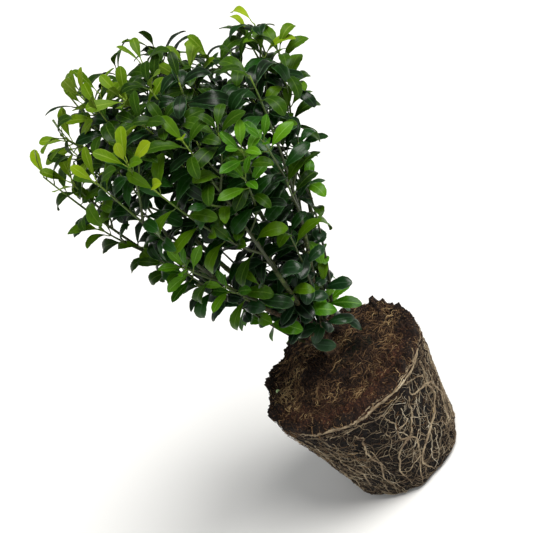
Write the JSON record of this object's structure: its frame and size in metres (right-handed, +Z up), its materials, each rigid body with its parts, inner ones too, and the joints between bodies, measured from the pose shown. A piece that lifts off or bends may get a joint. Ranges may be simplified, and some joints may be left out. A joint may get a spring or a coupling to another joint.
{
  "type": "euonymus shrub on its root ball",
  "caption": "Evergreen euonymus shrub lifted from its nursery pot, a leafy upright crown on a short trunk over a tapered root ball.",
  "frame": {"origin": "middle of the root ball's flat underside", "axes": "+Z up along the trunk, +X to the right and +Y away in the picture's view of the upright plant"},
  "size_m": [0.22, 0.211, 0.4654],
  "materials": {
    "soil": "matte",
    "root": "matte",
    "bark": "matte",
    "green_bark": "satin",
    "leaf": "gloss"
  },
  "bodies": {
    "root": {"root_ball": "soil", "rim_root": "root", "side_root_1": "root", "side_root_2": "root", "side_root_3": "root", "side_root_4": "root", "side_root_5": "root", "side_root_6": "root", "side_root_7": "root", "trunk": "bark", "bough_low_left": "green_bark", "bough_low_right": "green_bark", "bough_low_back": "green_bark", "bough_low_front": "green_bark", "bough_low_front_right": "green_bark", "bough_low_back_left": "green_bark", "bough_right": "green_bark", "bough_back_left": "green_bark", "bough_front": "green_bark", "bough_back_right": "green_bark", "bough_left": "green_bark", "bough_front_right": "green_bark", "bough_back": "green_bark", "bough_front_left": "green_bark", "bough_top_right": "green_bark", "bough_top_front": "green_bark", "bough_top": "green_bark", "foliage_low_left": "leaf", "foliage_low_right": "leaf", "foliage_low_back": "leaf", "foliage_low_front": "leaf", "foliage_low_front_right": "leaf", "foliage_low_back_left": "leaf", "foliage_right": "leaf", "foliage_back_left": "leaf", "foliage_front": "leaf", "foliage_back_right": "leaf", "foliage_left": "leaf", "foliage_front_right": "leaf", "foliage_back": "leaf", "foliage_front_left": "leaf", "foliage_top_right": "leaf", "foliage_top_front": "leaf", "foliage_top": "leaf"}
  },
  "joints": []
}
